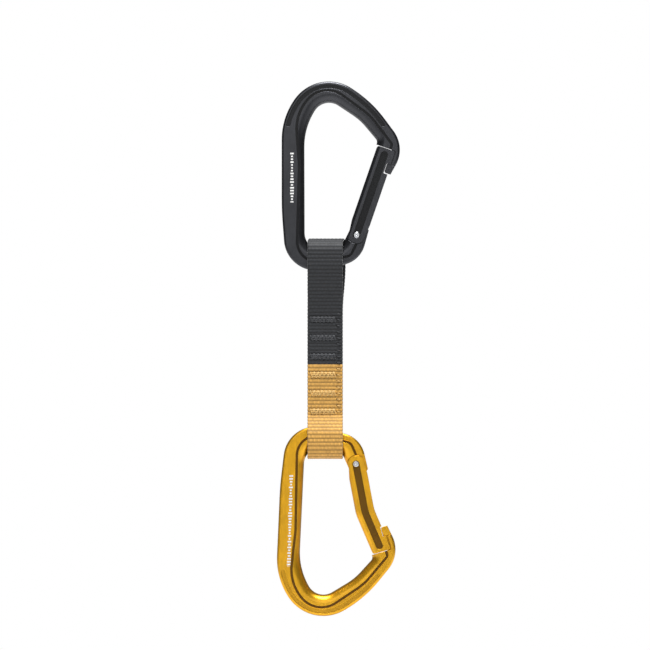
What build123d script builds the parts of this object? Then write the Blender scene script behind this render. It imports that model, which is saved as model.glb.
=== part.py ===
from build123d import *
import math
import os

os.makedirs("parts", exist_ok=True)

# A climbing quickdraw hanging from its top carabiner, in millimetres.
# +Z is up, the carabiners lie in the XZ plane and their thickness runs along Y.
# The origin is the inner apex of the top carabiner's bow, where the draw hangs.

# ---- carabiner forging (both bodies are the same forging) ----
carabiner_height = 102.7  # from the basket's outer edge to the top of the bow
spine_out = 23.5  # the spine's outer face, from the sling's centre line
spine_width = 12.4  # the bar's width in the plane of the carabiner
bead_width = 3.2  # from the inner face to the middle of the groove, along the spine
body_thickness = 10.6  # the rounded, rope-bearing inner bar
band_thickness = body_thickness - 3.0  # the flat outer band
groove_floor = body_thickness - 4.2  # the thickness left under the groove beside the bead
groove_width = 1.3
bearing_radius = body_thickness / 2 - 0.4  # rounding of the rope-bearing inner edges
band_rounding = 1.3  # rounding of the outer edges
rim_width = 1.5  # the raised rim outside the pocket on the bow
pocket_width = 2.2  # the shallow pocket along the bow
pocket_depth = 0.7
pocket_drop = 25.0  # how far below the top of the bow the pocket's ends lie
pocket_end_share = 0.42  # rounding of the pocket's ends, as a share of its width

# ---- gate hinge and nose, in the body's own plane ----
rivet_x = 17.2
rivet_z = 18.8
nose_x = 33.4  # the middle of the gate's closed end
nose_drop = 36.9  # that point's distance below the top of the bow
tongue_thickness = 4.0
tongue_radius = 7.0
tongue_clearance = 0.1
tongue_bite = 0.55  # how far the plunger's tip reaches over the tongue's ledge
slot_end_gap = 0.5  # beyond the tongue, at the end of the gate's slot
seat_clearance = 0.35
seat_start = 0.2  # where the room for the gate's swing starts, above the rivet
seat_drop = 3.6  # how far the room outside the gate goes below the rivet
swing_room = 14.0  # how far the cut for the gate's swing reaches inwards
end_gap = 0.2
nose_gap = 0.15
nose_swing_gap = 0.4  # room under the knob as the gate swings off it
neck_thickness = 3.2
neck_clearance = 0.25
knob_thickness = 7.6
knob_height = 5.0
knob_corner = 1.0
knob_reach = 2.15  # how far the nose goes into the gate, from the gate's outer face
arm_reach = 12.0  # how far the nose's blank reaches out, before the bar's outline trims it
root_depth = 2.0  # how far the neck runs into the forging
arm_height = 7.8  # from the knob's top to the gate's end
slit_width = 0.45
slit_depth = 1.1

# ---- gates ----
gate_width = 10.3
gate_thickness = body_thickness - 1.2
hinge_radius = 4.5
ankle_height = 1.4  # where the round hinge end widens into the gate
ankle_rise = 2.5  # how far above the hinge's round end the full width starts
ankle_radius = 4.0
foot_flat = 0.03  # left between the two roundings of the hinge end
gate_rounding = 2.3  # inner edges, where a hand or rope touches
gate_corner = 1.5
gate_groove_width = 3.8
gate_groove_depth = 1.0
gate_groove_margin = 1.6
bend_sag = 2.7  # how far the bent gate dips towards the spine
bend_share = 0.53  # where the bend lies along the gate
bend_radius = 22.0

# ---- rivet, plunger and return spring ----
rivet_shank = 2.5
rivet_head = 3.4
rivet_head_height = 0.75
rivet_play = 0.05
head_rounding = 0.45
dimple_radius = 0.5
dimple_rise = 0.15  # the dimple's centre, above the head
plunger_offset = 2.44  # the bore's distance from the rivet, on the spine's side
plunger_tip = 1.0  # the tip's height above the rivet with the gate closed
plunger_diameter = 3.0
plunger_tip_diameter = 2.6
plunger_neck_length = 8.0
plunger_head_length = 4.0
plunger_stub_diameter = 1.6
plunger_stub_length = 1.5
bore_play = 0.05
bore_length = 18.5
contact_gap = 0.3
spring_wire = 0.45
spring_mean = 2.3
spring_pitch = 1.3
spring_play = 0.05  # at each end of the spring

# ---- sling ----
sling_length = 120.0  # from end to end of the sewn sling
webbing_width = 18.6
sling_offset = 0.1  # the sling's middle, from the line the carabiner sizes start at
webbing_thickness = 1.6
webbing_gap = 0.4  # room between the webbing and the metal
layer_gap = 0.02
loop_seat = 17.0  # the loop's outer end, above the basket's outer edge
upper_loop_length = 42.0  # unsewn
lower_loop_length = 23.9  # unsewn
flank_height = 3.0  # where a loop's sides turn in, past the bar's inner bead
flank_radius = 6.0
tack_count = 6
first_tack_inset = 2.1  # from the upper loop's sewn end to the middle of the first tack
last_tack_inset = 2.0  # from the middle of the last tack to the lower loop's sewn end
tack_height = 3.6
tack_left = 8.3
tack_right = 6.0
tack_thickness = 0.4
thread_diameter = 0.6
needle_holes = 4
needle_play = 0.05

# ---- keeper pad in the lower loop ----
keeper_clearance = 0.3
keeper_half_depth = 4.6
keeper_gap = 0.1  # from the webbing

# ---- how the two carabiners lie ----
lower_tilt = 2.5  # degrees the lower carabiner leans in its own plane
lower_shift = 0.5

# ---- values worked out from the ones above ----
nose_z = carabiner_height - nose_drop
gate_length = math.hypot(nose_x - rivet_x, nose_z - rivet_z)
gate_lean = math.degrees(math.atan2(nose_x - rivet_x, nose_z - rivet_z))
half_gate = gate_width / 2
half_body = body_thickness / 2
half_band = band_thickness / 2
spine_in = spine_out - spine_width
step_x = spine_in + bead_width
knob_top = gate_length - arm_height
knob_bottom = knob_top - knob_height
knob_face = half_gate - knob_reach
groove_floor_y = gate_thickness / 2 - gate_groove_depth
slot_top = tongue_radius + slot_end_gap
bore_top = slot_top + bore_length
plunger_head_base = plunger_tip + plunger_neck_length
plunger_head_top = plunger_head_base + plunger_head_length
basket_distance = sling_length - 2 * loop_seat
first_tack = upper_loop_length + first_tack_inset
last_tack = sling_length - lower_loop_length - last_tack_inset
tack_pitch = (last_tack - first_tack) / (tack_count - 1)
loop_room = half_body + webbing_gap
loop_centre = loop_seat - webbing_thickness - loop_room
bend_v = bend_share * gate_length
far = 3 * carabiner_height
over = 1.0  # how far a cutter runs past the face it cuts
FROM_END = (Align.CENTER, Align.CENTER, Align.MIN)

GATE = Location((rivet_x, rivet_z, 0), (0, 0, -gate_lean))


def on_gate(u, v):
    """A point given across (u, outwards) and along (v) the gate, in the body's plane."""
    point = GATE.position + Vector(u, v, 0).rotate(Axis.Z, -gate_lean)
    return (point.X, point.Y)


# The outlines are closed polygons with rounded corners: (point, radius).
OUTER = [
    ((2.8 - spine_out, -4.9), 17.4),
    ((19.2, 4.8), 14.6),
    (on_gate(5.4, 5.2), 8.0),
    (on_gate(5.8, 31.8), 8.0),
    (on_gate(9.65, gate_length + 4.0), 16.9),
    ((25.7, carabiner_height - 11.8), 66.0),
    ((-3.5, carabiner_height + 7.9), 22.7),
    ((-spine_out, carabiner_height - 20.0), 37.9),
    ((-spine_out, 32.3), 170.0),
]
GROOVE = [
    ((-step_x - 1.1, 2.4), 10.7),
    ((13.9, 7.5), 4.0),
    (on_gate(1.4, -4.6), 2.0),
    (on_gate(2.2, gate_length + 3.1), 1.5),
    ((24.5, carabiner_height - 19.0), 32.3),
    ((-0.8, carabiner_height - 0.5), 13.8),
    ((-step_x - 1.7, carabiner_height - 18.0), 24.0),
    ((-step_x + 0.3, 56.4), 40.0),
]
INNER = [
    ((0.1 - spine_in, 10.4), 9.0),
    ((8.4, 11.4), 8.0),
    (on_gate(-4.5, 0.8), 2.0),
    (on_gate(-5.9, gate_length + 2.2), 2.5),
    ((19.1, carabiner_height - 21.6), 34.2),
    ((-0.6, carabiner_height - 8.5), 9.1),
    ((-spine_in - 0.1, carabiner_height - 25.8), 36.3),
]


def rounded(outline):
    """The face of a closed polygon whose corners are rounded."""
    points = [point for point, _ in outline]
    radii = [radius for _, radius in outline]
    return make_face(FilletPolyline(*points, radius=radii, close=True).edges())


def corner_top(outline, index):
    """The highest point of the arc that rounds one corner of an outline."""
    corner, radius = outline[index]
    here = Vector(*corner)
    before = (Vector(*outline[index - 1][0]) - here).normalized()
    after = (Vector(*outline[(index + 1) % len(outline)][0]) - here).normalized()
    half_angle = math.radians(before.get_angle(after) / 2)
    centre = here + (before + after).normalized() * (radius / math.sin(half_angle))
    return (centre.X, centre.Y + radius)


def slab(face, half):
    """A flat face made into a plate of the given half thickness, about the middle plane."""
    return extrude(face, amount=half, both=True)


def both_faces(face, inner_half, outer_half):
    """Two plates, one towards each side, between two distances from the middle plane."""
    depth = outer_half - inner_half
    upper = extrude(Pos(0, 0, inner_half) * face, amount=depth)
    return upper + extrude(Pos(0, 0, -outer_half) * face, amount=depth)


def gate_rect(u0, u1, v0, v1):
    """A rectangle given in the gate's own frame."""
    return Pos((u0 + u1) / 2, (v0 + v1) / 2) * Rectangle(u1 - u0, v1 - v0)


bow_apex = corner_top(INNER, 5)
sling_top = loop_seat - bow_apex[1]
tack_heights = [sling_top - first_tack - tack_pitch * i for i in range(tack_count)]


# ---------------------------------------------------------------- carabiner body
def edges_at(shape, height):
    """The outer edges of the flat faces that lie at one height, on both sides."""
    found = []
    for face in shape.faces().filter_by(GeomType.PLANE):
        if abs(abs(face.center().Z) - height) < 0.01 and abs(face.normal_at().Z) > 0.99:
            found += face.outer_wire().edges()
    return found


def forged_bar():
    """The closed forged bar: a rounded inner bead and a thinner, flat outer band."""
    bar = slab(rounded(OUTER), half_body) - slab(rounded(INNER), 2 * half_body)
    faces = bar.faces().sort_by(Axis.Z)
    mouths = faces[0].inner_wires()[0].edges() + faces[-1].inner_wires()[0].edges()
    bar = fillet(mouths, bearing_radius)
    bead = offset(rounded(GROOVE), -groove_width / 2)
    bar -= both_faces(Rectangle(far, far) - bead, half_band, half_body + over)
    return fillet(edges_at(bar, half_band), band_rounding)


def bead_groove():
    """The narrow groove between the bead and the outer band."""
    middle = rounded(GROOVE)
    ring = offset(middle, groove_width / 2) - offset(middle, -groove_width / 2)
    return both_faces(ring, groove_floor / 2, half_body + over)


def bow_pocket():
    """The shallow pocket along the bow, inside its raised rim, with rounded ends."""
    outer = rounded(OUTER)
    band = offset(outer, -rim_width) - offset(outer, -rim_width - pocket_width)
    ends = carabiner_height - pocket_drop
    strip = band & (Pos(0, ends + far / 2) * Rectangle(far, far))
    corners = strip.vertices().filter_by_position(Axis.Y, ends - 0.01, ends + 0.01)
    strip = fillet(corners, pocket_end_share * pocket_width)
    return both_faces(strip, half_band - pocket_depth, half_body)


def gate_space():
    """What the closed gate and its swing take out of the bar."""
    seat = Circle(hinge_radius + seat_clearance)
    inner_side = gate_rect(-swing_room, 0, seat_start, gate_length + end_gap)
    bed = half_gate + nose_gap
    gate_bed = gate_rect(0, bed, -seat_drop, gate_length + end_gap)
    outer_side = gate_rect(half_gate, far, -seat_drop, knob_bottom)
    return slab(GATE * (seat + inner_side + gate_bed + outer_side), half_body + over)


def tongue():
    """The thin hinge tongue inside the gate's slot, with a ledge for the plunger."""
    disc = Circle(tongue_radius)
    ledge = plunger_tip - contact_gap
    notch_edge = tongue_bite - plunger_tip_diameter / 2
    notch = gate_rect(-far, notch_edge, ledge, far)
    flat = (GATE * (disc - notch)) & (rounded(OUTER) - rounded(INNER))
    return slab(flat, tongue_thickness / 2)


def nose():
    """The keylock nose: an arm outside the gate, a neck in its slot and a knob."""
    outline = rounded(OUTER)
    root = gate_length + end_gap + root_depth
    knob = gate_rect(knob_face, arm_reach, knob_bottom, knob_top)
    knob = fillet(knob.vertices().group_by(Axis.X)[0], knob_corner)
    neck = gate_rect(knob_face, arm_reach, knob_bottom + knob_corner, root)
    tip = slab((GATE * knob) & outline, knob_thickness / 2)
    stem = slab((GATE * neck) & outline, neck_thickness / 2)
    return tip + stem


def nose_slit():
    """The narrow slit across the arm's faces, above the knob."""
    slit = gate_rect(knob_face - over, arm_reach, knob_top, knob_top + slit_width)
    return both_faces(GATE * slit, knob_thickness / 2 - slit_depth, half_body + over)


def carabiner_body():
    """One whole forging, lying flat with its thickness along Z."""
    body = forged_bar() - bead_groove() - bow_pocket()
    body = body - gate_space() - nose_slit()
    body = body + tongue() + nose()
    hole = GATE * Cylinder(rivet_shank / 2, 2 * body_thickness)
    return body - hole


# ---------------------------------------------------------------- gates
def edge_u(side, v, sag):
    """How far across the gate its edge (side -1 or 1) or middle line (0) lies at v."""
    dip = min(v / bend_v, (gate_length - v) / (gate_length - bend_v))
    return side * half_gate - sag * dip


def edge_points(side, sag, start, end):
    """The corners of one long edge of a gate, with the bend where it has one."""
    heights = [start, bend_v, end] if sag else [start, end]
    return [(edge_u(side, v, sag), v) for v in heights]


def gate_outline(sag):
    """The gate's face: a long bar, straight or bent, with a round hinge end."""
    bends = [bend_radius] if sag else []
    inner_edge = edge_points(-1, sag, hinge_radius + ankle_rise, gate_length)
    outer_edge = edge_points(1, sag, hinge_radius + ankle_rise, gate_length)
    ankle = [(hinge_radius, ankle_height), (-hinge_radius, ankle_height)]
    foot = [(hinge_radius, -hinge_radius), (-hinge_radius, -hinge_radius)]
    corners = inner_edge + outer_edge[::-1] + ankle[:1] + foot + ankle[1:]
    round_foot = [hinge_radius - foot_flat] * 2
    ankles = [ankle_radius] * 2
    nose_end = [gate_corner, gate_corner]
    radii = ankles[:1] + bends + nose_end + bends + ankles + round_foot + ankles[:1]
    return make_face(FilletPolyline(*corners, radius=radii, close=True).edges())


def soft_inner_side(sag):
    """A long plate whose edges are rounded along the gate's inner side only."""
    inner = edge_points(-1, sag, -gate_length, 2 * gate_length)
    wide = 4 * gate_width
    corners = inner + [(wide, 2 * gate_length), (wide, -gate_length)]
    radii = [0] + ([bend_radius] if sag else []) + [0, 0, 0]
    face = make_face(FilletPolyline(*corners, radius=radii, close=True).edges())
    plate = slab(face, gate_thickness / 2)
    rims = [edge for edge in edges_at(plate, gate_thickness / 2)
            if edge.center().X < half_gate and edge.length < 4 * gate_length]
    rims = [edge for edge in rims if abs(edge.tangent_at(0.5).Y) > 0.5]
    return fillet(rims, gate_rounding)


def gate_groove(sag):
    """The long recess down both faces, with round ends, one of them round the rivet."""
    end = gate_length - gate_groove_margin - gate_groove_width / 2
    path = edge_points(0, sag, 0, end)
    line = FilletPolyline(*path, radius=bend_radius) if sag else Line(*path)
    recess = trace(line, gate_groove_width)
    for point in (path[0], path[-1]):
        recess += Pos(*point) * Circle(gate_groove_width / 2)
    return both_faces(recess, groove_floor_y, gate_thickness)


def nose_pocket():
    """The keyhole for the body's nose: a slot for the neck, a wider one for the knob."""
    face = knob_face - nose_gap
    bottom = knob_bottom - nose_swing_gap
    neck_slot = gate_rect(face, 3 * gate_width, bottom, gate_length + gate_width)
    knob_slot = gate_rect(face, 3 * gate_width, bottom, knob_top + nose_gap)
    neck_half = neck_thickness / 2 + neck_clearance
    return slab(neck_slot, neck_half) + slab(knob_slot, gate_thickness)


def gate_bore():
    """The blind bore beside the rivet, for the plunger and the return spring."""
    bore = Cylinder(plunger_diameter / 2 + bore_play, bore_length + over, align=FROM_END)
    return Pos(-plunger_offset, slot_top - over, 0) * Rot(-90, 0, 0) * bore


def gate(sag):
    """A solid gate in its own frame: rivet axis at the origin, +Y towards the nose."""
    solid = slab(gate_outline(sag), gate_thickness / 2) & soft_inner_side(sag)
    solid = solid - gate_groove(sag) - nose_pocket() - gate_bore()
    slot = gate_rect(-far, far, -far, slot_top)
    solid -= slab(slot, tongue_thickness / 2 + tongue_clearance)
    return solid - Cylinder(rivet_shank / 2 + rivet_play, 2 * gate_thickness)


def rivet():
    """The hinge rivet: a shank through ears and tongue, with a domed head on each face."""
    length = 2 * (groove_floor_y + rivet_play)
    pin = Cylinder(rivet_shank / 2, length)
    head = Cylinder(rivet_head / 2, rivet_head_height, align=FROM_END)
    head = fillet(head.edges().group_by(Axis.Z)[-1], head_rounding)
    head -= Pos(0, 0, rivet_head_height + dimple_rise) * Sphere(dimple_radius)
    head = Pos(0, 0, length / 2) * head
    return pin + head + mirror(head, Plane.XY)


def plunger():
    """The push rod between the spring and the tongue, standing along the gate."""
    radius = plunger_tip_diameter / 2
    neck = Cylinder(radius, plunger_neck_length - radius, align=FROM_END)
    rod = Pos(0, 0, radius) * (Sphere(radius) + neck)
    head = Cylinder(plunger_diameter / 2, plunger_head_length, align=FROM_END)
    rod += Pos(0, 0, plunger_neck_length) * head
    stub = Cylinder(plunger_stub_diameter / 2, plunger_stub_length, align=FROM_END)
    rod += Pos(0, 0, plunger_neck_length + plunger_head_length) * stub
    return Pos(-plunger_offset, plunger_tip, 0) * Rot(-90, 0, 0) * rod


def return_spring():
    """The compression spring between the plunger's head and the end of the bore."""
    end_room = spring_wire / 2 + spring_play
    start = plunger_head_top + end_room
    height = slot_top + bore_length - end_room - start
    path = Helix(spring_pitch, height, spring_mean / 2)
    profile = Plane(origin=path @ 0, z_dir=path % 0) * Circle(spring_wire / 2)
    coil = sweep(profile, path=path)
    return Pos(-plunger_offset, start, 0) * Rot(-90, 0, 0) * coil


# ---------------------------------------------------------------- sling
# Loops are drawn in a carabiner's side view: x is the draw's thickness and y runs
# from the basket's outer edge towards the bow.
def side_view(face, width):
    """A side-view face made solid across the carabiner's plane."""
    return Rot(0, 90, 0) * extrude(face, amount=width / 2, both=True)


def loop(unsewn):
    """An unsewn loop of the sling: round over the bar, its sides closing on the strap."""
    half = webbing_thickness / 2
    start = (layer_gap + half, loop_seat - unsewn)
    turn = (loop_room + half, flank_height)
    side = FilletPolyline(start, turn, (turn[0], loop_centre), radius=flank_radius)
    over = CenterArc((0, loop_centre), loop_room + half, 0, 90)
    ribbon = trace(Wire(side.edges() + over.edges()), webbing_thickness)
    ribbon -= Pos(0, start[1] - webbing_width) * Rectangle(far, 2 * webbing_width)
    ribbon -= Pos(-far, 0) * Rectangle(2 * far, 2 * far)
    return side_view(ribbon + mirror(ribbon, Plane.YZ), webbing_width)


def needle_row(z, diameter, depth):
    """The through-stitches of one bar tack, as pins along Y."""
    pin = Rot(90, 0, 0) * Cylinder(diameter / 2, depth)
    step = (tack_left + tack_right) / needle_holes
    return [Pos(step * (i + 0.5) - tack_left, 0, z) * pin for i in range(needle_holes)]


def strap_layer(side):
    """One layer of the sewn strap; side -1 is the front, 1 the back."""
    top = sling_top - upper_loop_length
    bottom = sling_top - sling_length + lower_loop_length
    layer = Box(webbing_width, webbing_thickness, top - bottom)
    layer = Pos(0, side * (layer_gap + webbing_thickness / 2), (top + bottom) / 2) * layer
    for z in tack_heights:
        layer -= needle_row(z, thread_diameter + 2 * needle_play, far)
    return layer


def bar_tack(z):
    """One bar tack: a pad of stitches on each face, joined through both layers."""
    face = layer_gap + webbing_thickness
    pad = Box(tack_left + tack_right, tack_thickness, tack_height)
    pad = Pos((tack_right - tack_left) / 2, face + tack_thickness / 2, z) * pad
    return pad + mirror(pad, Plane.XZ) + needle_row(z, thread_diameter, 2 * face)


def keeper_insert():
    """An elastomer pad that fills the lower loop between the bar and the flat webbing."""
    pad = slab(offset(rounded(INNER), -keeper_clearance), keeper_half_depth)
    room = side_view(Pos(0, loop_centre) * Circle(loop_room - keeper_gap), webbing_width)
    return LOWER_TILT.inverse() * (room & (LOWER_TILT * pad))


# ---------------------------------------------------------------- the whole draw
UPPER = Pos(-bow_apex[0], 0, -bow_apex[1]) * Plane.XZ.location
LOWER = Pos(-bow_apex[0], 0, -bow_apex[1] - basket_distance) * Rot(180, 0, 0) * Plane.XZ.location
LOWER_TILT = Location((lower_shift, 0, 0), (0, 0, lower_tilt))
SLING = Pos(sling_offset - bow_apex[0], 0, 0)


def write(name, shape):
    """Writes one node's STEP file."""
    export_step(shape, os.path.join("parts", name + ".step"))


def write_carabiner(place, prefix, body, sag):
    """One carabiner's pieces, each in its place."""
    write(prefix + "_carabiner_body", place * body)
    write(prefix + "_gate", place * GATE * gate(sag))
    write(prefix + "_gate_rivet", place * GATE * rivet())
    write(prefix + "_gate_plunger", place * GATE * plunger())
    write(prefix + "_gate_spring", place * GATE * return_spring())


def main():
    body = carabiner_body()
    write_carabiner(UPPER, "top", body, 0)
    write_carabiner(LOWER * LOWER_TILT, "bottom", body, bend_sag)
    write("sling_upper_loop", UPPER * Pos(sling_offset, 0, 0) * loop(upper_loop_length))
    write("sling_lower_loop", LOWER * Pos(sling_offset, 0, 0) * loop(lower_loop_length))
    write("sling_front_layer", SLING * strap_layer(-1))
    write("sling_back_layer", SLING * strap_layer(1))
    for number, z in enumerate(tack_heights, 1):
        write("bar_tack_" + str(number), SLING * bar_tack(z))
    write("keeper_insert", LOWER * LOWER_TILT * keeper_insert())


if __name__ == "__main__":
    main()
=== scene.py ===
import math

import bpy
from mathutils import Matrix, Vector


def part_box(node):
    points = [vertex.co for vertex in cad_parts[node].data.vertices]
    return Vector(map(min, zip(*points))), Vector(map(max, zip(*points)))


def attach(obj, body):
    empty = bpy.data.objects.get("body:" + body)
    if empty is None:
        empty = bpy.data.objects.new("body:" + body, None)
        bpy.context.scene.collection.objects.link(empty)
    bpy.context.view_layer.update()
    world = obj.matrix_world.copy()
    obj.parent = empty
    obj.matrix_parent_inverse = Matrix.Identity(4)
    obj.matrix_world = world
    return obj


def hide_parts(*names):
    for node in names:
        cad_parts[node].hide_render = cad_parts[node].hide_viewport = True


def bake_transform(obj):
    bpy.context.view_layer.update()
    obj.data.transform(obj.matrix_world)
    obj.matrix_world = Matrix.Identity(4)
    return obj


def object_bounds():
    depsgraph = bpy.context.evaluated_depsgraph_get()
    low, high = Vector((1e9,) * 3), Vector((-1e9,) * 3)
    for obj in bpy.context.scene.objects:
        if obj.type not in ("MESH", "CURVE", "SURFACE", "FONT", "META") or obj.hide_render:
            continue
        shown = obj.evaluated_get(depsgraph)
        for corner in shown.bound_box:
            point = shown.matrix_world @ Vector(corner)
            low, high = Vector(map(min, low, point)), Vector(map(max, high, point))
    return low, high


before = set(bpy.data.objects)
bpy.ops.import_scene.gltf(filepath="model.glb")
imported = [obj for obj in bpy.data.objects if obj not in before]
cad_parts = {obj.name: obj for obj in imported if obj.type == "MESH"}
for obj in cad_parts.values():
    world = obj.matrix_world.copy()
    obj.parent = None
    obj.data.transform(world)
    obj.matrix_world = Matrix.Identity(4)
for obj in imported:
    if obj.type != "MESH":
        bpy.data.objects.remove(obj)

bl_info = {
    "name": "Climbing Quickdraw",
    "version": (1, 0, 0),
    "blender": (4, 5, 0),
    "location": "View3D > Sidebar > Quickdraw",
    "description": "Woven sling, stitching and finishes for a climbing quickdraw",
    "category": "Object",
}

CAD_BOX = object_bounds()
MM = 0.001

SPINE_BODIES = {"top": "top_carabiner_body", "bottom": "bottom_carabiner_body"}
TACK_NODES = sorted(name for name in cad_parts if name.startswith("bar_tack_"))
UPPER_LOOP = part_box("sling_upper_loop")
LOWER_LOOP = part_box("sling_lower_loop")
FRONT_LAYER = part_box("sling_front_layer")
LOOP_SEAT = UPPER_LOOP[1].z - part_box("top_carabiner_body")[0].z
UPPER_BASKET = UPPER_LOOP[1].z - LOOP_SEAT  # the baskets' outer edges, where the bars start
LOWER_BASKET = LOWER_LOOP[0].z + LOOP_SEAT
GROOVE_FLOOR = 3.2 * MM  # from the middle plane of a carabiner's body
POCKET_FLOOR = 3.1 * MM  # of the shallow pocket along the bow, likewise
GATE_GROOVE = 1.0 * MM  # depth of the groove down a gate
FLOOR_TOLERANCE = 0.04 * MM  # how near to its depth a face counts as a groove's floor
SIDE_FACE = -3.6 * MM  # just inside the spine's side face, towards the camera

LAYER_WIDTH = FRONT_LAYER[1].x - FRONT_LAYER[0].x
LAYER_THICKNESS = FRONT_LAYER[1].y - FRONT_LAYER[0].y
LAYER_MIDDLE = (FRONT_LAYER[0].x + FRONT_LAYER[1].x) / 2
LAYER_DEPTH = abs(FRONT_LAYER[0].y + FRONT_LAYER[1].y) / 2  # of each layer, from the middle plane
LOOP_RADIUS = (UPPER_LOOP[1].y - UPPER_LOOP[0].y) / 2

ARC_HANDLE = 0.5523  # a Bezier handle's share of the radius in a quarter circle
CORNER_CUT = 1.6 * MM  # taken off the corner where a strand meets the bar's flank
CELL_ROWS, CELL_COLUMNS = 8, 4  # faces along and across one cell of the weave
RIB_CREST = ((1, 0.7), (2, 1.0), (3, 0.7), (5, 0.7), (6, 1.0), (7, 0.7))  # grid row, height
LOW_FLOAT = 0.72  # height of a float that passes under its neighbour
RIM_OUT = (1.012, 1.006)  # how much wider each step of the closing rim is
RIM_START = 1.003  # shares of the half width beyond which a point is on the rim
SCALLOP = 1.018  # how far the rim bulges at each rib
WELD = 0.01 * MM  # points nearer than this become one
HOLE_REACH = 0.42 * MM  # how far round a needle hole the webbing is drawn in
HOLE_DEPTH = 0.45 * MM
STITCH_PITCH = 3.3 * MM  # from one ladder stitch to the next
STITCH_SLANT = 0.25 * MM  # how much lower a ladder stitch ends than it starts
LADDER_START = 0.5 * MM  # from the tack's end
LADDER_END = 1.0 * MM  # from the webbing's edge
MARK_PITCH = 1.55 * MM  # from one laser bar to the next
MARK_SHARE = 0.56  # of that distance that the bar fills
PLY_PITCH = 1.0 * MM  # along an axis, from one ply of thread to the next

CAMERA_DISTANCE = 1.2
FLOOR_SIZE = 8
FLOOR_DROP = 0.02  # from the object's lowest point to the floor


def linear(hex_colour):
    """An sRGB hex colour as the linear red, green, blue and alpha that shaders take."""
    channels = [int(hex_colour[i:i + 2], 16) / 255 for i in (1, 3, 5)]
    return tuple(
        c / 12.92 if c <= 0.04045 else ((c + 0.055) / 1.055) ** 2.4 for c in channels) + (1.0,)


def colour_property(name, hex_colour, description):
    """A colour that the sidebar shows as a swatch."""
    return bpy.props.FloatVectorProperty(
        name=name, description=description, subtype="COLOR", size=4, min=0, max=1,
        default=linear(hex_colour))


def length_property(name, default, description):
    """A length in metres."""
    return bpy.props.FloatProperty(
        name=name, description=description, default=default, min=0, unit="LENGTH", precision=5)


class MetalSettings(bpy.types.PropertyGroup):
    """Finishes of the carabiners, gates, rivets and springs."""

    black: colour_property("Black dye", "#393A3E", "Anodised dye of the upper carabiner")
    # painted shade: the dye darkened on the floors of the milled grooves
    black_groove_painted_shade: colour_property("Black groove painted shade", "#17181A", "The dye darkened as painted shade on the milled grooves' floors")
    gold: colour_property("Gold dye", "#E0A61E", "Anodised dye of the lower carabiner")
    # painted shade: the dye darkened on the floors of the milled grooves
    gold_groove_painted_shade: colour_property("Gold groove painted shade", "#6A4A08", "The dye darkened as painted shade on the milled grooves' floors")
    steel: colour_property("Rivet steel", "#D8DADD", "Stainless steel of the rivets")
    edge_radius: length_property("Edge radius", 0.35 * MM, "Tumbled rounding of the metal's edges")
    roughness: bpy.props.FloatProperty(
        name="Roughness", description="Roughness of the anodised skin", default=0.34, min=0, max=1,
        subtype="FACTOR")


class SlingSettings(bpy.types.PropertyGroup):
    """Sizes and colours of the woven sling and its stitching."""

    rib: length_property("Rib pitch", 2.0 * MM, "Distance from one cross rib to the next")
    yarns: bpy.props.IntProperty(
        name="Warp yarns", description="Yarns side by side across the webbing, an even number",
        default=18, min=2)
    relief: length_property("Relief", 0.34 * MM, "Height of a rib above the valley beside it")
    thread: length_property("Thread", 0.5 * MM, "Diameter of the sewing thread")
    zigzags: bpy.props.IntProperty(
        name="Zigzag stitches", description="Stitches across one bar tack", default=13, min=2)
    colour_change: bpy.props.FloatProperty(
        name="Colour change",
        description="Share of the sewn strap that is black, from its upper end",
        default=0.488, min=0, max=1, subtype="FACTOR")
    black: colour_property("Black yarn", "#232529", "Dyed yarn of the upper half")
    yellow: colour_property("Yellow yarn", "#D3A04C", "Dyed yarn of the lower half")
    black_thread: colour_property("Black thread", "#34363B", "Thread of the upper tacks")
    yellow_thread: colour_property("Yellow thread", "#DDB468", "Thread of the lower tacks")


class StudioSettings(bpy.types.PropertyGroup):
    """Camera, floor and lights."""

    view_width: length_property("View width", 353 * MM, "Width that the camera takes in")
    view_x: bpy.props.FloatProperty(
        name="View centre X", description="Middle of the picture", default=-2.2 * MM,
        unit="LENGTH")
    view_z: bpy.props.FloatProperty(
        name="View centre Z", description="Middle of the picture", default=-120.6 * MM,
        unit="LENGTH")
    key_power: bpy.props.FloatProperty(
        name="Key light", description="Power of the overhead softbox", default=17.0, min=0,
        unit="POWER")
    fill_power: bpy.props.FloatProperty(
        name="Front light", description="Power of the softbox behind the camera", default=3.9,
        min=0, unit="POWER")
    surround: bpy.props.FloatProperty(
        name="Surround", description="Brightness of the dim room round the object", default=0.12,
        min=0)


# ---------------------------------------------------------------- materials
def add(tree, kind, inputs=None, **settings):
    """Adds a node with its settings; inputs maps sockets to values or to other nodes' sockets."""
    node = tree.nodes.new(kind)
    for name, value in settings.items():
        setattr(node, name, value)
    for key, value in (inputs or {}).items():
        if isinstance(value, bpy.types.NodeSocket):
            tree.links.new(value, node.inputs[key])
        else:
            node.inputs[key].default_value = value
    return node


def new_material(name):
    """An empty node material, its tree and its Principled shader."""
    material = bpy.data.materials.new(name)
    material.use_nodes = True
    tree = material.node_tree
    return material, tree, tree.nodes["Principled BSDF"]


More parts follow.
